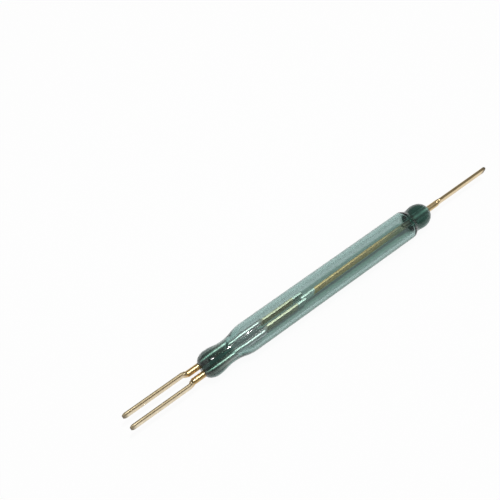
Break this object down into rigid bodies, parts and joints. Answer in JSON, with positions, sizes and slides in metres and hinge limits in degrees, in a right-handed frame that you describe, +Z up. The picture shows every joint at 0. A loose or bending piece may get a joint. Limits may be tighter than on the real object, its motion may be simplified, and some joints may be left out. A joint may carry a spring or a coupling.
{
  "type": "glass reed switch",
  "caption": "Slim sealed green glass tube with gold leads, whose flat reed a magnet swings from its resting contact to the other contact.",
  "frame": {"origin": "on the tube's axis, half way along the glass", "axes": "+X along the tube towards the common lead, +Y towards the normally open contact, +Z up, so that the leads lie in the XY plane"},
  "size_m": [0.0427, 0.0028, 0.0028],
  "materials": {
    "green_glass": "clear, fire polished",
    "gold_plating": "thin gold plating on drawn and pressed nickel iron wire",
    "reed_plating": "gold plating with a silver coloured contact tip"
  },
  "bodies": {
    "envelope": {"glass_envelope": "green_glass", "common_lead": "gold_plating", "normally_closed_lead": "gold_plating", "normally_open_lead": "gold_plating"},
    "reed": {"armature_reed": "reed_plating"}
  },
  "joints": [
    {"name": "reed_swing", "type": "hinge", "parent": "envelope", "child": "reed", "pos_m": [0.00915, 0, 0], "axis": [0, 0, -1], "range_deg": [0, 1.02], "stiffness_Nm_per_rad": 0.033}
  ]
}
